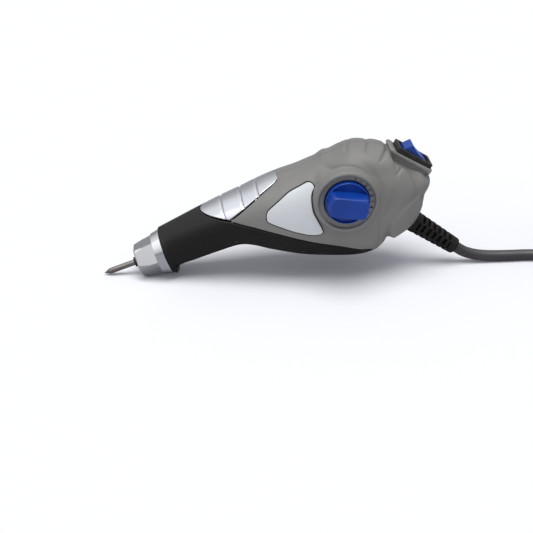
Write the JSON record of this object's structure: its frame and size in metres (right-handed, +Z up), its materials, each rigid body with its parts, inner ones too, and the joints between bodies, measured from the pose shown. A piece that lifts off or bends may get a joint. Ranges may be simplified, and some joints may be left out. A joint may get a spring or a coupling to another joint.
{
  "type": "electric engraving pen",
  "caption": "Hand-held electric engraver with a carbide stylus, slanted soft-grip body, stroke dial, rocker switch, ribbed strain relief and mains lead.",
  "frame": {"origin": "middle of the pen's own bounding box, at the height of the surface it lies on; the free lead, its wound length and the plug are not counted", "axes": "+Z up, -X towards the stylus tip, -Y out of the stroke dial"},
  "size_m": [0.3419, 0.0842, 0.0712],
  "materials": {
    "housing_grey": "fine-textured satin",
    "grip_rubber": "soft matte",
    "silver_trim": "silver-painted satin",
    "badge": "pale satin",
    "bright_metal": "polished",
    "blue_plastic": "satin",
    "black_plastic": "satin",
    "steel": "machined",
    "core_steel": "laminated, oiled",
    "bronze": "sintered",
    "copper": "enamelled wire",
    "nylon": "moulded",
    "cord_vinyl": "smooth matte vinyl"
  },
  "bodies": {
    "body": {"housing_left": "housing_grey", "housing_right": "housing_grey", "grip_left": "grip_rubber", "grip_right": "grip_rubber", "top_inlay": "silver_trim", "badge_plate": "badge", "housing_screw_1": "steel", "housing_screw_2": "steel", "housing_screw_3": "steel", "housing_screw_4": "steel", "housing_screw_5": "steel", "front_bush": "bronze", "rear_bush": "bronze", "magnet_core": "core_steel", "bobbin_upper": "nylon", "bobbin_lower": "nylon", "winding_upper": "copper", "winding_lower": "copper", "shoe_guide": "bronze", "switch_body": "black_plastic", "switch_terminal_front": "bronze", "switch_terminal_rear": "bronze", "strain_relief": "grip_rubber", "inner_lead": "cord_vinyl", "lead_clamp": "nylon", "clamp_screw_1": "steel", "clamp_screw_2": "steel", "power_cord": "cord_vinyl", "cord_coil": "cord_vinyl", "cord_tail": "cord_vinyl", "plug_body": "cord_vinyl", "plug_pin_1": "bright_metal", "plug_pin_2": "bright_metal"},
    "striker": {"striker_shaft": "steel", "chuck_screw": "steel", "spring_collar": "steel", "return_spring": "steel", "armature_plate": "steel", "armature_nut": "steel"},
    "stylus": {"stylus": "bright_metal"},
    "seal": {"nose_seal": "grip_rubber"},
    "cone": {"nose_cone": "silver_trim"},
    "shoe": {"stroke_shoe": "nylon"},
    "dial": {"stroke_knob": "blue_plastic", "dial_spindle": "steel", "dial_clip": "steel"},
    "rocker": {"rocker": "blue_plastic"}
  },
  "joints": [
    {"name": "armature_stroke", "type": "slide", "parent": "body", "child": "striker", "axis": [0.9397, 0, 0.342], "range_m": [0, 0.001], "stiffness_N_per_m": 1500, "springref_m": -0.002},
    {"name": "stylus_pull", "type": "slide", "parent": "striker", "child": "stylus", "axis": [-0.9397, 0, -0.342], "range_m": [0, 0.012]},
    {"name": "nose_travel", "type": "slide", "parent": "body", "child": "seal", "axis": [-0.9397, 0, -0.342], "range_m": [0, 0.006]},
    {"name": "nose_unscrew", "type": "hinge", "parent": "seal", "child": "cone", "pos_m": [-0.06229, 0.0059, 0.01354], "axis": [-0.9397, 0, -0.342], "range_deg": [0, 1440]},
    {"name": "knob_turn", "type": "hinge", "parent": "body", "child": "dial", "pos_m": [0.03011, 0.0059, 0.04975], "axis": [0, 1, 0], "range_deg": [0, 270]},
    {"name": "shoe_travel", "type": "slide", "parent": "body", "child": "shoe", "axis": [-0.9397, 0, -0.342], "range_m": [0, 0.001]},
    {"name": "rocker_tilt", "type": "hinge", "parent": "body", "child": "rocker", "pos_m": [0.0665, 0.0059, 0.06262], "axis": [0, -1, 0], "range_deg": [0, 24]}
  ],
  "couplings": [
    {"joint": "nose_travel", "follows": "nose_unscrew", "m_per_rad": 0.00023873},
    {"joint": "shoe_travel", "follows": "knob_turn", "m_per_rad": 0.0002122}
  ]
}
